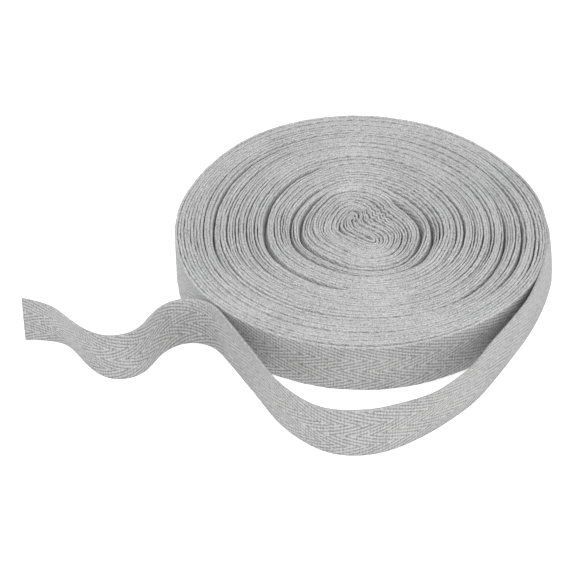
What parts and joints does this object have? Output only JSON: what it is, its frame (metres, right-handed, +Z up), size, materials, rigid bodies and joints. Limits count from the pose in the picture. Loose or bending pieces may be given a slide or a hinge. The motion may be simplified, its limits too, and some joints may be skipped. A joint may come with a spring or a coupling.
{
  "type": "roll of cotton twill tape",
  "caption": "Coreless roll of light grey herringbone cotton tape lying flat, its outermost turn leaving as a wavy loose end that stands on edge in front.",
  "frame": {"origin": "on the surface the roll lies on, under the middle of the roll", "axes": "+Z up through the roll's flat sides, -Y towards the loop of the loose end, -X towards its cut end"},
  "size_m": [0.1934, 0.1712, 0.02],
  "materials": {
    "wound_tape": "matt cotton herringbone tape seen on its woven edges, wound in many turns",
    "loose_tape": "matt cotton herringbone twill with four stripes of slanting ribs and firm edges"
  },
  "bodies": {
    "root": {"wound_roll": "wound_tape", "loose_end": "loose_tape"}
  },
  "joints": []
}
